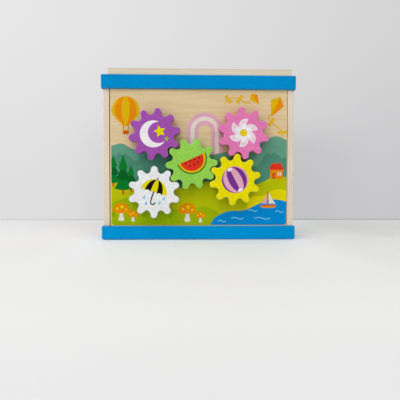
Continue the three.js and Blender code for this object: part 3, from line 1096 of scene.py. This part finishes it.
def make_panel_print():
    """The scene on the front panel, with a thin bare border and bare wood round each spacer."""
    low, high = node_box("front_panel")
    left, right = low.x + PRINT_MARGIN_LEFT, high.x - PRINT_MARGIN_RIGHT
    floor, top = low.z + PRINT_MARGIN_BELOW, high.z - PRINT_MARGIN_ABOVE
    loop_at = rounded_rectangle(right - left, top - floor, PRINT_CORNER_RADIUS)
    inside = moved(loop_at(0), (left + right) / 2, (top + floor) / 2)
    clear = node_radius("green_spacer") + PRINT_CLEARANCE
    bare = [circle(place, clear) for place in axle_places.values()]
    shapes = panel_shapes(left - SCENE_SPILL, right + SCENE_SPILL, floor - SCENE_SPILL)
    matrix = placing(Vector((0, low.y, 0)) * MM, X, Z)
    print_sheet("panel_print", shapes, matrix, "box", inside, bare)


def make_gears():
    """The gears, each turned so that it meshes with its driver, and their prints."""
    phases = {"green": GREEN_PHASE}
    for driver, driven, lag in GEAR_TRAIN:
        step = axle_places[driven] - axle_places[driver]
        middle = 2 * atan2(step.y, step.x) - phases[driver] + pi / GEAR_TEETH
        phases[driven] = middle + radians(lag)
    inside = circle((0, 0), GEAR_PRINT_RADIUS, GEAR_PRINT_STEPS)
    for colour, tone in GEAR_PAINTS.items():
        slot, body = colour + "_paint", colour + "_wheel"
        low, high = node_box(colour + "_gear")
        bore = node_radius(colour + "_axle") + GLUE_GAP
        holes = [((0, 0), [(bore, 0), (bore, AXLE_SEAT_DEPTH)])]
        shell = eased_shell(gear_outline(phases[colour]), high.y - low.y, GEAR_EASE, holes)
        x, z = axle_places[colour]
        back, front = (placing(Vector((x, y, z)) * MM, X, Z) for y in (high.y, low.y))
        made = shell.piece("fine_" + colour + "_gear", back, paint(slot, tone, gear=True), body)
        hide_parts(colour + "_gear")
        print_sheet(colour + "_print", GEAR_ART[colour](), front, body, inside)


def dress_nodes():
    """Gives the small parts that keep their CAD shape their finish."""
    kinds = {"axle": dowel_wood, "spacer": nylon, "washer": zinc, "screw": zinc, "post": pine_wood}
    for name, node in frame["nodes"].items():
        for kind, material in kinds.items():
            if kind in name:
                node.data.materials.clear()
                node.data.materials.append(material)


# Table, wall, light and camera


def flat_stage(name, low, high, material):
    """A flat rectangle of scenery between two of its corners, level or upright."""
    (left, near, foot), (right, far, top) = low, high
    corners = [(left, near, foot), (right, near, foot), (right, far, top), (left, far, top)]
    mesh = bpy.data.meshes.new(name)
    mesh.from_pydata(corners, [], [(0, 1, 2, 3)])
    mesh.materials.append(material)
    made = new_object(name, mesh)


def make_table():
    """A pale table with painted light and shade: painted bounce light just in front of the toy, painted shade
    beside its left, painted light over its shadow beside its right, darker to the right and far in front, and
    a thin painted shade line along its far edge. Places are in metres from the toy's middle."""
    floor = Recipe("table")
    x, y, _ = floor.split(floor.object_place)
    # Painted bounce light just in front of the toy; darker to the right and far in front
    near = floor.fade(y, -0.25, -0.08, linear(240, 240, 240), linear(246, 248, 249))
    outer = floor.fade(x, -0.12, 0.16, linear(241, 241, 241), linear(237, 237, 237))
    front = floor.fade(floor.absolute(x), 0.09, 0.15, near, outer)
    front = floor.fade(y, -0.37, -0.29, linear(234, 234, 235), front)
    # Painted shade beside the toy's left, and painted light over its shadow beside its right, darker far to
    # the right
    left = floor.fade(x, -0.165, -0.125, linear(241, 241, 242), linear(239, 239, 240))
    right = floor.fade(x, 0.14, 0.22, linear(243, 246, 246), linear(229, 230, 229))
    painted_light_and_shade_beside = floor.fade(x, -0.05, 0.05, left, right)
    tone = floor.fade(y, -0.055, -0.015, front, painted_light_and_shade_beside)
    # A painted shade line along the far edge, darker to the right
    line = floor.fade(x, -0.4, 0.15, linear(221, 221, 222), linear(182, 183, 186))
    tone = floor.fade(y, TABLE_EDGE - TABLE_SHADE_LINE, TABLE_EDGE - 0.85 * TABLE_SHADE_LINE, tone, line)
    floor.finish(Base_Color=tone, Roughness=TABLE_ROUGHNESS, Specular_IOR_Level=TABLE_SHINE)
    flat_stage("table", TABLE_LOW, TABLE_HIGH, floor.material)


def make_wall():
    """A wall that glows by itself, with painted light falloff that is darker to the right and lower down, and
    a painted shadow of the toy low behind it, mostly to its right.
    """
    wall = Recipe("wall")
    x, _, z = wall.split(wall.object_place)
    # Painted light falloff: darker to the right and lower down
    upper = wall.fade(x, -0.9, 1.3, linear(231, 231, 232), linear(210, 210, 211))
    lower = wall.fade(x, -0.9, 1.3, linear(223, 223, 224), linear(196, 196, 198))
    tone = wall.fade(z, -0.1, 0.8, lower, upper)
    # Painted shadow of the toy on the wall, mostly to its right and a little to its left
    right_of_toy = wall.times(wall.spread(x, -0.1, 0.1), wall.spread(x, 0.4, 0.85, 1.0, 0.0))
    fading = wall.spread(x, -0.1, 0.1, 1.0, 0.0)
    left_of_toy = wall.times(wall.spread(x, -0.5, -0.38, 0.0, 0.4), fading)
    behind = wall.maths("ADD", right_of_toy, left_of_toy)
    shadow = wall.times(behind, wall.spread(z, 0.18, 0.38, 0.12, 0.0))
    black = (0, 0, 0, 1)
    tone = wall.mix(shadow, tone, black)
    wall.finish(Base_Color=black, Specular_IOR_Level=0, Emission_Color=tone, Emission_Strength=1)
    flat_stage("wall", WALL_LOW, WALL_HIGH, wall.material)


def make_light():
    """An even pale surrounding, and round soft lamps that face the toy."""
    world = bpy.data.worlds.new("studio")
    bpy.context.scene.world = world
    world.use_nodes = True
    sky = world.node_tree.nodes["Background"].inputs
    sky["Color"].default_value = WORLD_COLOUR
    sky["Strength"].default_value = WORLD_STRENGTH
    for name, (place, size, power, colour) in LAMPS.items():
        lamp = bpy.data.lights.new(name, "AREA")
        lamp.shape = "DISK"
        lamp.size, lamp.energy, lamp.color = size, power, colour
        made = new_object(name, lamp)
        made.location = place
        made.rotation_mode = "QUATERNION"
        made.rotation_quaternion = (LAMP_AIM - made.location).to_track_quat("-Z", "Y")
        made.visible_camera = False


def make_camera():
    """The photograph's camera, from its place and its three angles."""
    flat = cos(CAMERA_PITCH)
    forward = Vector((sin(CAMERA_YAW) * flat, cos(CAMERA_YAW) * flat, sin(CAMERA_PITCH)))
    level = forward.cross(Z).normalized()
    down = forward.cross(level)
    right = level * cos(CAMERA_ROLL) + down * sin(CAMERA_ROLL)
    up = right.cross(forward)
    lens = bpy.data.cameras.new("camera")
    lens.lens = LENS
    lens.sensor_width = SENSOR
    lens.clip_start = NEAR_CLIP
    camera = new_object("camera", lens)
    turn = Matrix((right, up, -forward)).transposed().to_4x4()
    camera.matrix_world = Matrix.Translation(Vector(CAMERA_PLACE) * MM) @ turn
    bpy.context.scene.camera = camera


make_boards()
make_plates()
make_panel_print()
make_gears()
dress_nodes()
make_table()
make_wall()
make_light()
make_camera()
bpy.context.scene.view_settings.view_transform = "Standard"
